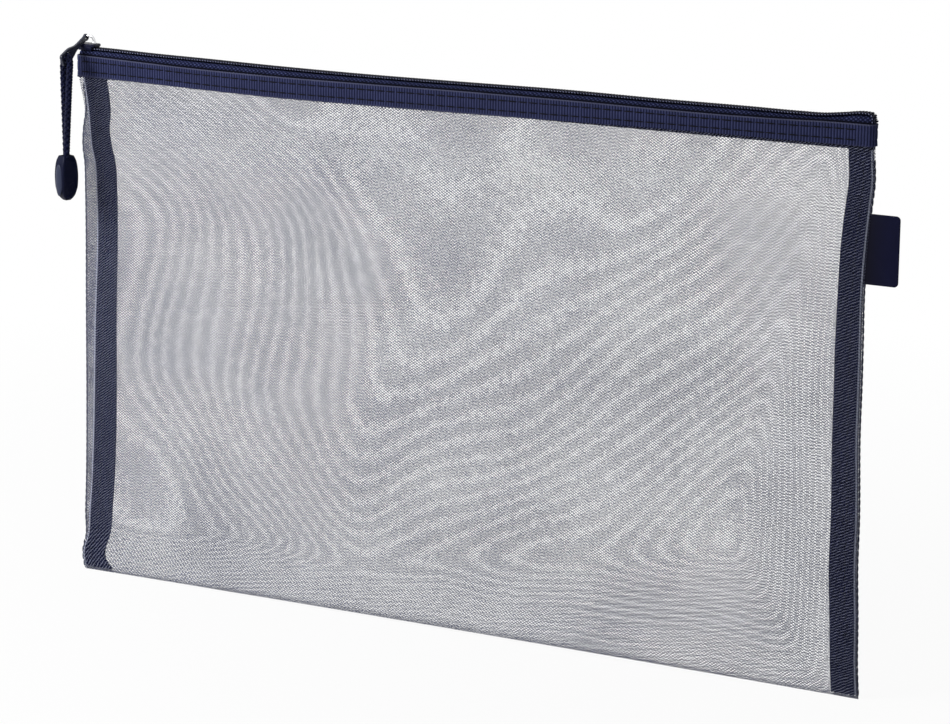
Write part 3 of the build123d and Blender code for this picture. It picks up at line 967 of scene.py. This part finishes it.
def mouth_line(side, offset, count):
    """Plan line of the mouth on one face, offset outwards from the net, with even steps."""
    end_gap = 0.05
    height = mouth_top - 6
    left, right = side_edges(height)
    shares = (1 - np.cos(np.linspace(0, math.pi, 400))) / 2
    x = left + (right - left) * shares
    line = np.stack([x, -wall_depth(x, height)], axis=1)
    ahead = headings(line)
    line = line + offset * np.stack([ahead[:, 1], -ahead[:, 0]], axis=1)
    line = line[line[:, 1] < -end_gap]
    even, along = evenly(line, count)
    even[:, 1] *= -side
    return even, along


ribbon_thickness = 0.4
ribbon_offset = 0.6
stitch_shares = (0.27, 0.74)
stitch_step = 4.35


def swell(along, step):
    """A wave from 0 to 1 along a line."""
    return 0.5 + 0.5 * np.cos(2 * math.pi * along / step)


def hump(share, centre, width):
    """A bell from 0 to 1 about a centre."""
    return math.exp(-(((share - centre) / width) ** 2))


def ribbon_band(name, side):
    """A ribbed ribbon round one face of the mouth, drawn in along its two rows of stitches."""
    rib_depth, draw_in, pucker_depth, selvedge_rise, fringe_depth = 0.14, 0.1, 0.08, 0.1, 0.22
    stitch_width, selvedge_at, selvedge_width = 0.035, 0.97, 0.03
    steps_per_rib = 5
    length = mouth_line(side, ribbon_offset, 50)[1][-1]
    line, along = mouth_line(side, ribbon_offset, int(length / rib_step * steps_per_rib))
    ahead = headings(line)
    outward = np.stack([ahead[:, 1], -ahead[:, 0]], axis=1) * -side
    ribs = swell(along, rib_step)
    pucker = swell(along, stitch_step)
    down = [0, 0.03, 0.08, 0.16, 0.23, 0.27, 0.31, 0.4, 0.5, 0.61, 0.7, 0.74, 0.78, 0.86, 0.93, 0.97, 1]
    upper, lower = ribbon_upper_edge(line[:, 0]), ribbon_lower_edge(line[:, 0])
    rows = []
    for share in down:
        near = sum(hump(share, row, stitch_width) for row in stitch_shares)
        selvedge = selvedge_rise * hump(share, selvedge_at, selvedge_width)
        relief = rib_depth * (ribs - 1) - near * (draw_in + pucker_depth * pucker) + selvedge
        fringe = fringe_depth * ribs if share == 1 else 0
        height = upper + (lower - upper) * share - fringe
        rows.append(np.column_stack([line + outward * relief[:, None], height]))
    points = np.array(rows)
    cloth = np.stack(np.broadcast_arrays(along[None, :], upper[None, :] - points[..., 2]), axis=-1)
    return cloth_piece(name, points, cloth, side < 0, ribbon_thickness, ribbon_material)


def ribbon_stitches(name, side):
    """Two rows of lockstitch along a ribbon."""
    sunk = 0.1
    clear_end = 1.8 * stitch_step
    places = []
    directions = []
    length = mouth_line(side, ribbon_offset, 50)[1][-1]
    line, along = mouth_line(side, ribbon_offset - sunk, 4000)
    ahead = headings(line)
    nearest = np.searchsorted(along, np.arange(clear_end, length - clear_end, stitch_step))
    nearest = nearest[nearest < len(line)]
    line, ahead = line[nearest], ahead[nearest]
    for share in stitch_shares:
        upper, lower = ribbon_upper_edge(line[:, 0]), ribbon_lower_edge(line[:, 0])
        for point, direction, height in zip(line, ahead, upper + (lower - upper) * share):
            places.append((*point, height))
            directions.append((*direction, 0))
    guide = guide_points(name, places, directions)
    return set_row(guide, stitch_row, thread_material, {"Width": 0.55 * mm, "Length": 4.2 * mm})


front_ribbon = ribbon_band("front_ribbon_band", front)
rear_ribbon = ribbon_band("rear_ribbon_band", rear)
front_stitches = ribbon_stitches("front_ribbon_stitches", front)
rear_stitches = ribbon_stitches("rear_ribbon_stitches", rear)


coil_height = 1.4
coil_pitch = 1.2
coil_wire = 0.5
tape_slit = 0.8


def zip_tape(name, side):
    """A knitted tape from inside the mouth, over its shoulder, to the slit under the coil."""
    thickness = 0.5
    foot = 8.6
    behind_net = 0.25
    straight_below = -3
    line, along = mouth_line(side, -behind_net, 420)
    rows = []
    rise = coil_crest(line[:, 0]) - coil_height
    shoulder = [
        (0, -foot), (0, -6), (0, -2.2), (0.05, -1.5), (0.25, -0.8), (0.6, -0.35), (1.1, -0.12), (1.7, 0),
    ]
    for inward, below in shoulder:
        drop = rise + below if below > straight_below else mouth_top + below + 0 * rise
        depth = np.maximum(np.abs(line[:, 1]) - inward, tape_slit)
        rows.append(np.column_stack([line[:, 0], side * depth, drop]))
    rows.append(np.column_stack([line[:, 0], side * (tape_slit + 0 * rise), rise]))
    points = np.array(rows)
    down = np.array([steps_along(points[:, column]) for column in range(points.shape[1])]).T
    showing = down - (ribbon_upper_edge(line[:, 0]) - mouth_top + foot)
    cloth = np.stack(np.broadcast_arrays(along[None, :], showing), axis=-1)
    return cloth_piece(name, points, cloth, side > 0, thickness, tape_material)


front_tape = zip_tape("front_zip_tape_knit", front)
rear_tape = zip_tape("rear_zip_tape_knit", rear)


def coil_path(shift):
    """Places of a coil's turns, along the crest and down round its right end."""
    bend_from, bend_radius, bend_angle, drop_length = 167.4, 1.7, math.radians(92), 2.4
    dense = np.linspace(coil_start + coil_pitch / 2 + shift, bend_from, 1500)
    line = np.column_stack([dense, coil_crest(dense) - coil_height / 2])
    turn = np.linspace(0, bend_angle, 40)[1:]
    tail = line[-1] + bend_radius * np.column_stack([np.sin(turn), np.cos(turn) - 1])
    drop = tail[-1] + np.column_stack([np.zeros(12), -np.linspace(0.2, drop_length, 12)])
    line = np.concatenate([line, tail, drop])
    return evenly(line, int(steps_along(line)[-1] / coil_pitch))[0]


def zip_coil(name, side):
    """A row of nylon turns whose inner bends mesh with the other coil's, on a core, with pale thread dashes
    along its front as painted glints.
    """
    turn_y, core_y, thread_y = 0.95 * side, 0.76 * side, 2.2 * side
    core_drop, thread_lift, thread_slant, core_radius = 0.1, 0.2, 0.5, 0.52
    path = coil_path(0 if side < 0 else coil_pitch / 2)

    def along_path(y, lift):
        return np.column_stack([path[:, 0], np.full(len(path), y), path[:, 1] + lift])

    ahead = headings(path)
    directions = np.column_stack([ahead[:, 0], np.zeros(len(path)), ahead[:, 1]])
    guide = guide_points(name, along_path(turn_y, 0), directions)
    turns = set_row(guide, coil_turns, coil_material, {
        "Width": 2.2 * mm, "Height": (coil_height - coil_wire) * mm, "Wire": coil_wire * mm,
        "Lean": 0.5, "Skew": -0.35 * side,
    })
    core = tube_piece("coil_core", along_path(core_y, -core_drop), core_radius, 8, coil_material)
    # Pale dashes of sewing thread along the coil's front, their pale colour painted glints on the turns.
    slanted = directions - np.array([0, 0, thread_slant])
    guide = guide_points("coil_thread_glints", along_path(thread_y, thread_lift), slanted)
    dash = {"Width": 0.34 * mm, "Length": 0.56 * mm}
    thread = set_row(guide, stitch_row, coil_thread_glint_material, dash)
    return joined(name, [turns, core, thread])


front_coil = zip_coil("front_coil_turns", front)
rear_coil = zip_coil("rear_coil_turns", rear)


# Hard pieces

label = softened_copy("side_label_tab", "side_label", 0.25, label_material)
slider = softened_copy("slider_casting", "slider_body", 0.18, enamel_material)
hinge = Vector((-167.7, 0, 221.4))
tab_direction = Vector((-0.0846, -0.8772, -0.4726)).normalized()
tab_half_width = eased([(0.7, 0.92), (2.4, 1.0), (7.4, 1.15), (11.4, 2.45), (12.5, 2.55), (16.1, 2.55)])


def pull_tab():
    """A stamped tab: a small eye on the arch, a neck that widens, and a slot for the cord."""
    eye, hole, thickness, length, corner, edge_radius = 1.4, 0.92, 1.0, 17.2, 1.1, 0.16
    slot_near, slot_far, slot_half_width, slot_corner = 12.5, 15.4, 0.95, 0.7
    around = np.linspace(math.pi, math.radians(52), 14)
    half = [(eye * math.cos(angle), eye * math.sin(angle)) for angle in around]
    half += [(reach, float(tab_half_width(reach))) for reach in np.linspace(2, length - corner, 30)]
    reach, side = length - corner, float(tab_half_width(length)) - corner
    bend = np.linspace(math.pi / 2, 0, 7)[1:]
    half += [(reach + corner * math.cos(angle), side + corner * math.sin(angle)) for angle in bend]
    outline = half + [(reach, -width) for reach, width in half[:0:-1]]
    full_turn = np.linspace(0, 2 * math.pi, 25)[:-1]
    eye_hole = [(hole * math.cos(angle), hole * math.sin(angle)) for angle in full_turn]
    slot = []
    for x, way, start in ((slot_far, 1, 0), (slot_near, 1, 90), (slot_near, -1, 180), (slot_far, -1, 270)):
        y = way * slot_half_width
        for angle in np.radians(np.linspace(start, start + 90, 5)):
            slot.append((x + slot_corner * math.cos(angle), y + slot_corner * math.sin(angle)))
    curve = bpy.data.curves.new("pull_tab_plate", "CURVE")
    curve.dimensions = "2D"
    curve.fill_mode = "BOTH"
    curve.extrude = thickness / 2 * mm
    for edge in (outline, eye_hole, slot):
        spline = curve.splines.new("POLY")
        spline.points.add(len(edge) - 1)
        spline.use_cyclic_u = True
        for point, (x, y) in zip(spline.points, edge):
            point.co = (x * mm, y * mm, 0, 1)
    flat = new_piece("tab_outline", curve)
    mesh = bpy.data.meshes.new_from_object(flat)
    bpy.data.objects.remove(flat)
    square = (Vector((1, 0, 0)) - tab_direction * tab_direction.x).normalized()
    turn = Matrix((tab_direction, square.cross(tab_direction), square)).transposed().to_4x4()
    mesh.transform(Matrix.Translation(hinge * mm) @ turn)
    mend(mesh, merge=0.002, flats=True)
    return rounded("pull_tab_plate", mesh, edge_radius, tab_material)


tab = pull_tab()


def bridge_arch():
    """A bright wire arch with a round foot."""
    wire, corner, ball_radius, ball_lift = 0.54, 2.0, 0.95, 0.35
    left, right = bridge_low.x + wire, bridge_high.x - wire
    foot, crown = bridge_low.z - 0.2, bridge_high.z + 0.1 - wire
    turn = np.linspace(0, math.pi / 2, 12)
    inward, below = corner * (1 - np.cos(turn)), corner * (1 - np.sin(turn))
    rising = np.column_stack([left + inward, crown - below])
    falling = np.column_stack([right - inward, crown - below])[::-1]
    line = np.concatenate([[(left, foot)], rising, falling, [(right, foot)]])
    line = evenly(line, 48)[0]
    points = np.column_stack([line[:, 0], np.zeros(len(line)), line[:, 1]])
    arch = tube_piece("arch_wire", points, wire, 14, nickel_material)
    place = Matrix.Translation(Vector((right, 0, bridge_low.z + ball_lift)) * mm)
    ball = ball_piece("arch_foot", 18, 12, place @ Matrix.Scale(ball_radius, 4), nickel_material)
    return joined("bridge_arch_wire", [arch, ball])


bridge = bridge_arch()

grip_centre = (grip_low + grip_high) / 2
grip_turn = math.radians(70)
grip_half_width = eased([(0, 1.2), (0.05, 2.1), (0.2, 3.35), (0.45, 3.95), (0.65, 3.9), (0.9, 3.2), (1, 2.5)])
grip_half_depth = eased([(0, 1.1), (0.06, 1.8), (0.25, 2.8), (0.5, 3.1), (0.75, 3.0), (0.94, 2.55), (1, 2.1)])


def cord_grip():
    """A moulded drop with a pad on one side, slanted ribs low on two faces and a socket in its top; the pad's
    lighter colour is painted light on the lit side.
    """
    height = grip_high.z - grip_low.z + 0.8
    rib_slant = math.radians(35)
    middle_rib, rib_gap, rib_sunk = 5.2, 1.9, 0.1
    pad_half_sizes, pad_share, pad_sunk = (0.6, 2.2, 6.4), 0.46, 0.2
    broad = np.array([math.cos(grip_turn), math.sin(grip_turn), 0])
    thick = np.array([-math.sin(grip_turn), math.cos(grip_turn), 0])
    centre = np.array([grip_centre.x, grip_centre.y, grip_low.z])
    angles = np.linspace(0, 2 * math.pi, 65)
    squareness = 0.24
    wide = np.sign(np.cos(angles)) * np.abs(np.cos(angles)) ** squareness
    deep = np.sign(np.sin(angles)) * np.abs(np.sin(angles)) ** squareness

    def ring(share, lift, scale):
        half_wide = grip_half_width(share) * scale
        half_deep = grip_half_depth(share) * scale
        across = half_wide * wide[:, None] * broad + half_deep * deep[:, None] * thick
        return centre + across + np.array([0, 0, height * share + lift])

    rings = [ring(0, 0.0, scale) for scale in (0.02, 0.5, 0.85)]
    rings += [ring(share, 0.0, 1.0) for share in np.linspace(0, 1, 40) ** 0.9]
    socket = ((0.05, 0.92), (-0.1, 0.8), (-1.2, 0.76), (-3.0, 0.7), (-3.1, 0.02))
    rings += [ring(1, lift, scale) for lift, scale in socket]
    points = np.array(rings)
    body = grid_piece("grip_body", points, points[..., [0, 2]])
    mend(body.data, fill=True)
    body.data.materials.append(grip_material)
    along_rib = math.cos(rib_slant) * broad + np.array([0, 0, math.sin(rib_slant)])
    places = []
    for face in (1, -1):
        for rib in (-1, 0, 1):
            lift = middle_rib + rib * rib_gap
            out = grip_half_depth(lift / height) - rib_sunk
            places.append(centre + face * thick * out + np.array([0, 0, lift]))
    facing = Matrix((broad, thick, (0, 0, 1))).transposed().to_4x4()
    # The pad sits on the grip's lit side; its lighter colour is painted light there.
    seat = centre - broad * (grip_half_width(0.45) - pad_sunk) + np.array([0, 0, pad_share * height])
    place = Matrix.Translation(Vector(seat) * mm) @ facing @ Matrix.Diagonal((*pad_half_sizes, 1))
    pad = ball_piece("grip_pad", 32, 20, place, pad_material)
    guide = guide_points("grip_ribs", places, [along_rib] * len(places))
    ribs = set_row(guide, stitch_row, grip_material, {"Width": 0.5 * mm, "Length": 3.6 * mm})
    return joined("moulded_grip", [body, pad, ribs])


grip = cord_grip()


# Floor, light and background


def white_for_camera(tree, output, shader, share):
    """Mixes plain white into what the camera, mirrors and clear things see of a surface."""
    rays = tree.nodes.new("ShaderNodeLightPath").outputs
    seen = calculate(tree, "MAXIMUM", rays["Is Camera Ray"], rays["Is Glossy Ray"])
    seen = calculate(tree, "MAXIMUM", seen, rays["Is Transmission Ray"])
    white = add_node(tree, "ShaderNodeEmission", {"Color": (1, 1, 1, 1), "Strength": 1.0})
    mix = add_node(tree, "ShaderNodeMixShader", {0: calculate(tree, "MULTIPLY", seen, share)})
    tree.links.new(shader, mix.inputs[1])
    tree.links.new(white.outputs[0], mix.inputs[2])
    tree.links.new(mix.outputs[0], output.inputs["Surface"])


def studio():
    """A white floor that sweeps up to a backdrop, a plain world and two lamps."""
    rise = eased([
        (0, 0), (0.8, 0), (1.2, 0), (1.6, 0), (2.4, 0.06), (3.0, 0.25), (3.5, 0.65), (3.8, 1.2),
        (4.0, 2.0), (4.1, 3.0),
    ])
    aim = Vector((-0.05, 0, 0.12))
    radii = np.concatenate([np.linspace(0, 1.6, 8), np.linspace(1.7, 4.1, 30)])
    around = np.linspace(0, 2 * math.pi, 65)
    levels = np.outer(rise(radii), 1 + 0 * around)
    rings = np.stack([np.outer(radii, np.cos(around)), np.outer(radii, np.sin(around)), levels], axis=-1)
    floor = grid_piece("studio_floor", rings / mm, rings[..., :2] / mm)
    floor_mesh = floor.data
    mend(floor_mesh, merge=0.01)
    if floor_mesh.polygons[0].normal.z < 0:
        floor_mesh.flip_normals()
    material, tree, shader = new_finish("white_floor", {"Base Color": (0.9, 0.9, 0.9, 1), "Roughness": 0.9})
    away = add_node(tree, "ShaderNodeVectorMath", {0: object_place(tree)}, operation="LENGTH")
    clear = spread(tree, away.outputs["Value"], 0.1, 0.6, low=0.93)
    white_for_camera(tree, tree.nodes["Material Output"], shader.outputs[0], clear)
    floor_mesh.materials.append(material)

    world = bpy.data.worlds.new("studio_world")
    world.use_nodes = True
    bpy.context.scene.world = world
    tree = world.node_tree
    surround = tree.nodes["Background"]
    surround.inputs["Color"].default_value = (1, 1, 1, 1)
    surround.inputs["Strength"].default_value = 0.25
    white_for_camera(tree, tree.nodes["World Output"], surround.outputs[0], 1.0)

    lamps = [
        ("key_light", (-0.5, -0.47, 0.52), 0.4, 5.3),
        ("fill_light", (0.9, -1.1, 0.9), 0.9, 0.8),
    ]
    for name, place, size, power in lamps:
        data = bpy.data.lights.new(name, "AREA")
        data.size = size
        data.energy = power
        lamp = new_piece(name, data)
        lamp.location = place
        lamp.rotation_euler = (aim - lamp.location).to_track_quat("-Z", "Y").to_euler()
    bpy.context.scene.view_settings.view_transform = "Standard"


studio()


# What each piece stands for and rides on

dressed = [
    (net, "wallet", "mesh", ["front_mesh", "rear_mesh", "bottom_fold", "left_seam", "right_seam"]),
    (left_binding, "wallet", "binding", ["left_side_binding"]),
    (right_binding, "wallet", "binding", ["right_side_binding"]),
    (left_stitches, "wallet", "binding", []),
    (right_stitches, "wallet", "binding", []),
    (left_seam, "wallet", "mesh", []),
    (right_seam, "wallet", "mesh", []),
    (front_ribbon, "wallet", "ribbon", ["front_ribbon"]),
    (rear_ribbon, "wallet", "ribbon", ["rear_ribbon"]),
    (front_stitches, "wallet", "ribbon", []),
    (rear_stitches, "wallet", "ribbon", []),
    (front_tape, "wallet", "zip_tape", ["front_zip_tape"]),
    (rear_tape, "wallet", "zip_tape", ["rear_zip_tape"]),
    (front_coil, "wallet", "zip_coil", ["front_zip_coil"]),
    (rear_coil, "wallet", "zip_coil", ["rear_zip_coil"]),
    (label, "wallet", "label", ["side_label"]),
    (slider, "slider", "slider_enamel", ["slider_body"]),
    (bridge, "slider", "nickel", ["slider_bridge"]),
    (tab, "tab", "tab_enamel", ["pull_tab"]),
    (pull_cord, "pull", "cord", ["pull_cord"]),
    (grip, "pull", "grip", ["cord_grip"]),
]
for piece, body, slot, nodes in dressed:
    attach(piece, body)
    if nodes:
        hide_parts(*nodes)
